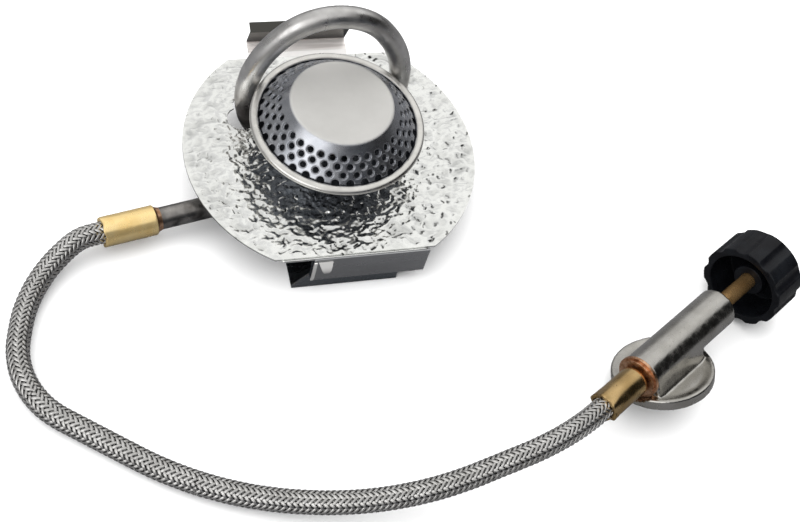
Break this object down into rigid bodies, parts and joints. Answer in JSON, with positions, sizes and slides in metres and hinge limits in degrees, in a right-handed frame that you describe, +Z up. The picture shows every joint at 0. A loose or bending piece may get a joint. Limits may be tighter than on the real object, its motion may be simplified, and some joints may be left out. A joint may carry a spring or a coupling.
{
  "type": "camping gas burner",
  "caption": "Gas burner head on a hammered heat shield with spring clips, a pre-heating tube looped over the flame, a braided hose and a canister valve with a fluted knob.",
  "frame": {"origin": "on the burner's axis, at the underside of the base bracket", "axes": "+Z up along the burner's axis; the shield's two flats face -Y (front) and +Y (back); the valve lies towards +X, -Y"},
  "size_m": [0.2839, 0.1972, 0.0701],
  "materials": {
    "satin_steel": "satin pressed steel",
    "tube_steel": "satin, heat tinted",
    "hammered_sheet": "hammered, bright",
    "dark_sheet": "polished sheet in shade",
    "bright_sheet": "polished sheet",
    "brass": "turned",
    "copper": "copper coloured, heat marked",
    "steel_braid": "woven wire",
    "nickel_casting": "nickel plated casting, fine pits",
    "rubber": "matt",
    "black_plastic": "moulded, slight sheen"
  },
  "bodies": {
    "burner": {"burner_cap": "satin_steel", "burner_bowl": "satin_steel", "mixing_tube": "satin_steel", "tube_nut": "satin_steel", "jet_nozzle": "brass", "jet_block": "brass", "vaporiser_tube": "tube_steel", "heat_shield": "hammered_sheet", "base_bracket": "dark_sheet", "front_clip": "dark_sheet", "braze_ring": "copper", "burner_ferrule": "brass", "burner_nipple": "brass", "hose_liner_1": "rubber", "hose_braid_1": "steel_braid"},
    "clip": {"rear_clip": "bright_sheet"},
    "hose_2": {"hose_liner_2": "rubber", "hose_braid_2": "steel_braid"},
    "hose_3": {"hose_liner_3": "rubber", "hose_braid_3": "steel_braid"},
    "hose_4": {"hose_liner_4": "rubber", "hose_braid_4": "steel_braid"},
    "hose_5": {"hose_liner_5": "rubber", "hose_braid_5": "steel_braid"},
    "hose_6": {"hose_liner_6": "rubber", "hose_braid_6": "steel_braid", "valve_ferrule": "brass", "swivel_nipple": "brass"},
    "valve": {"swivel_ring": "copper", "valve_body": "nickel_casting", "canister_seal": "rubber", "pin_depressor": "brass", "inlet_filter": "tube_steel"},
    "gland": {"spindle_seal": "rubber"},
    "needle": {"spindle": "brass", "control_knob": "black_plastic"}
  },
  "joints": [
    {"name": "clip_flex", "type": "hinge", "parent": "burner", "child": "clip", "pos_m": [-0.0015, 0.0404, 0.003], "axis": [1, 0, 0], "range_deg": [0, 8], "stiffness_Nm_per_rad": 2},
    {"name": "hose_bend_1", "type": "hinge", "parent": "burner", "child": "hose_2", "pos_m": [-0.09697, -0.02643, 0.00873], "axis": [0, 0, 1], "range_deg": [-8, 8], "stiffness_Nm_per_rad": 0.5},
    {"name": "hose_bend_2", "type": "hinge", "parent": "hose_2", "child": "hose_3", "pos_m": [-0.11508, -0.055, 0.0044], "axis": [0, 0, 1], "range_deg": [-8, 8]},
    {"name": "hose_bend_3", "type": "hinge", "parent": "hose_3", "child": "hose_4", "pos_m": [-0.09368, -0.09642, 0.0044], "axis": [0, 0, 1], "range_deg": [-8, 8]},
    {"name": "hose_bend_4", "type": "hinge", "parent": "hose_4", "child": "hose_5", "pos_m": [-0.03218, -0.12907, 0.00788], "axis": [0, 0, 1], "range_deg": [-8, 8]},
    {"name": "hose_bend_5", "type": "hinge", "parent": "hose_5", "child": "hose_6", "pos_m": [0.0321, -0.12994, 0.01933], "axis": [0, 0, 1], "range_deg": [-8, 8]},
    {"name": "valve_swivel", "type": "hinge", "parent": "hose_6", "child": "valve", "pos_m": [0.08682, -0.10675, 0.0218], "axis": [0.856, 0.5123, -0.0698], "range_deg": [-180, 180], "stiffness_Nm_per_rad": 0.05},
    {"name": "needle_travel", "type": "slide", "parent": "valve", "child": "gland", "axis": [0.856, 0.5123, -0.0698], "range_m": [0, 0.00112]},
    {"name": "knob_turn", "type": "hinge", "parent": "gland", "child": "needle", "pos_m": [0.12106, -0.08626, 0.01901], "axis": [0.856, 0.5123, -0.0698], "range_deg": [0, 540]}
  ],
  "couplings": [
    {"joint": "hose_bend_2", "follows": "hose_bend_1", "ratio": 1},
    {"joint": "hose_bend_3", "follows": "hose_bend_1", "ratio": 1},
    {"joint": "hose_bend_4", "follows": "hose_bend_1", "ratio": 1},
    {"joint": "hose_bend_5", "follows": "hose_bend_1", "ratio": 1},
    {"joint": "needle_travel", "follows": "knob_turn", "m_per_rad": 0.00011937}
  ]
}
